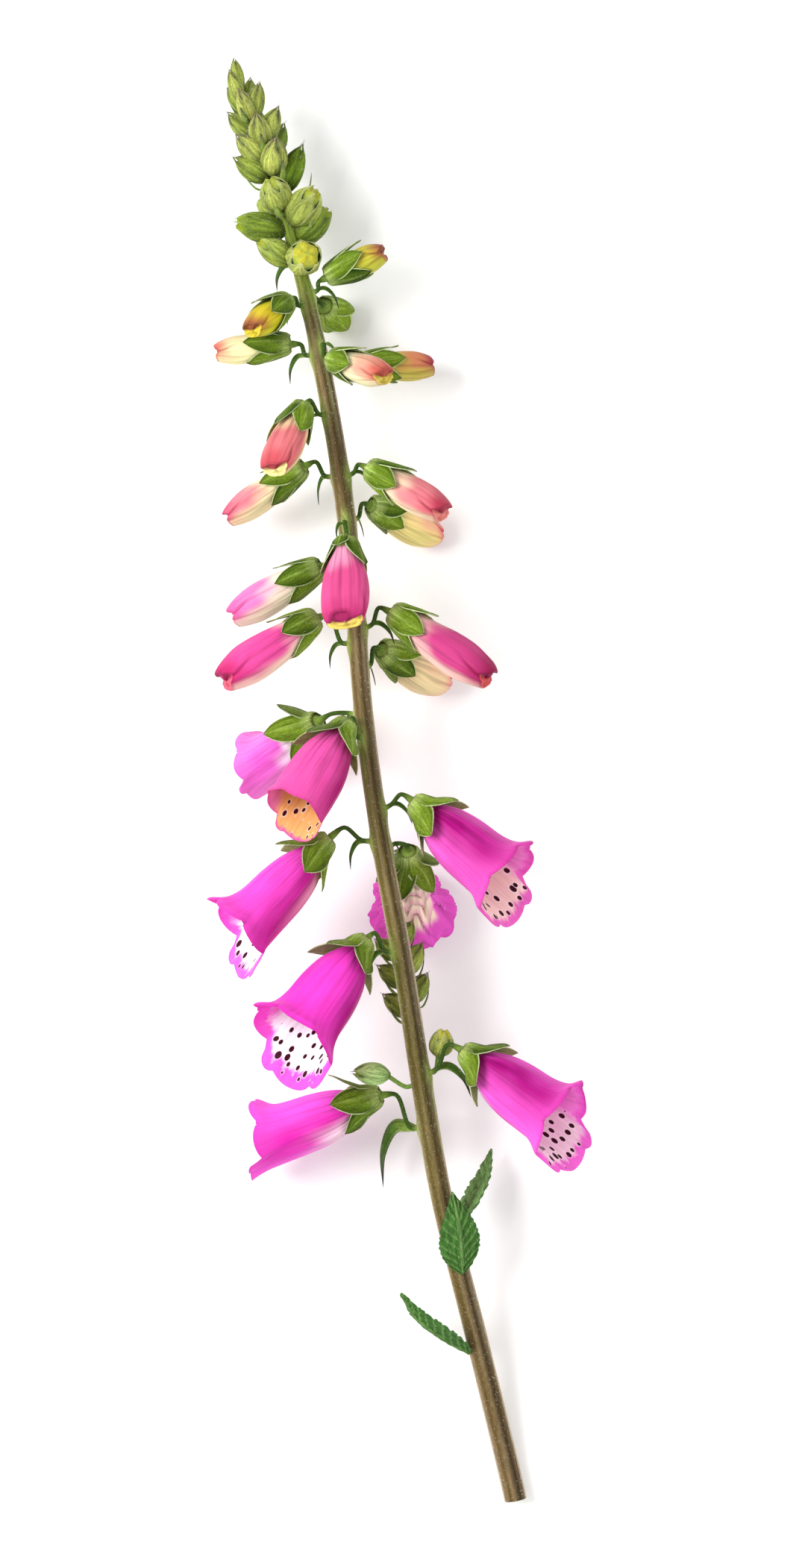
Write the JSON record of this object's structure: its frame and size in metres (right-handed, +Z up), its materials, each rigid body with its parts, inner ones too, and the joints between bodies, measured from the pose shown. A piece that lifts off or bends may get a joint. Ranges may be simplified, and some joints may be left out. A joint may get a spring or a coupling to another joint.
{
  "type": "foxglove flower spike",
  "caption": "Cut foxglove spike lying on its side: a bowed stem with open spotted bells below, coloured buds above them and a green head of buds at the tip.",
  "frame": {"origin": "on the surface that the spike lies on, under the middle of its bounding box", "axes": "+Y along the stem from the cut end to the tip, +Z up from the surface, +X to the right of the stem seen from above with the tip away"},
  "size_m": [0.118, 0.5044, 0.0731],
  "materials": {
    "stem": null,
    "petal": null,
    "sepal": null,
    "bud": null,
    "leaf": null
  },
  "bodies": {
    "root": {"stem": "stem", "head": "bud", "bell_1_corolla": "petal", "bell_1_calyx": "sepal", "bell_2_corolla": "petal", "bell_2_calyx": "sepal", "bell_3_corolla": "petal", "bell_3_calyx": "sepal", "bell_4_corolla": "petal", "bell_4_calyx": "sepal", "bell_5_corolla": "petal", "bell_5_calyx": "sepal", "bell_6_corolla": "petal", "bell_6_calyx": "sepal", "bell_7_corolla": "petal", "bell_7_calyx": "sepal", "bell_8_corolla": "petal", "bell_8_calyx": "sepal", "bud_1_corolla": "petal", "bud_1_calyx": "sepal", "bud_2_corolla": "petal", "bud_2_calyx": "sepal", "bud_3_corolla": "petal", "bud_3_calyx": "sepal", "bud_4_corolla": "petal", "bud_4_calyx": "sepal", "bud_5_corolla": "petal", "bud_5_calyx": "sepal", "bud_6_corolla": "petal", "bud_6_calyx": "sepal", "bud_7_corolla": "petal", "bud_7_calyx": "sepal", "bud_8_corolla": "petal", "bud_8_calyx": "sepal", "bud_9_corolla": "petal", "bud_9_calyx": "sepal", "bud_10_corolla": "petal", "bud_10_calyx": "sepal", "bud_11_corolla": "petal", "bud_11_calyx": "sepal", "bud_12_corolla": "petal", "bud_12_calyx": "sepal", "bud_13_corolla": "petal", "bud_13_calyx": "sepal", "bud_14_corolla": "petal", "bud_14_calyx": "sepal", "bud_15_corolla": "petal", "bud_15_calyx": "sepal", "side_bud_left": "bud", "side_bud_right": "bud", "side_shoot": "bud", "stem_leaf_1": "leaf", "stem_leaf_2": "leaf", "stem_leaf_3": "leaf"}
  },
  "joints": []
}
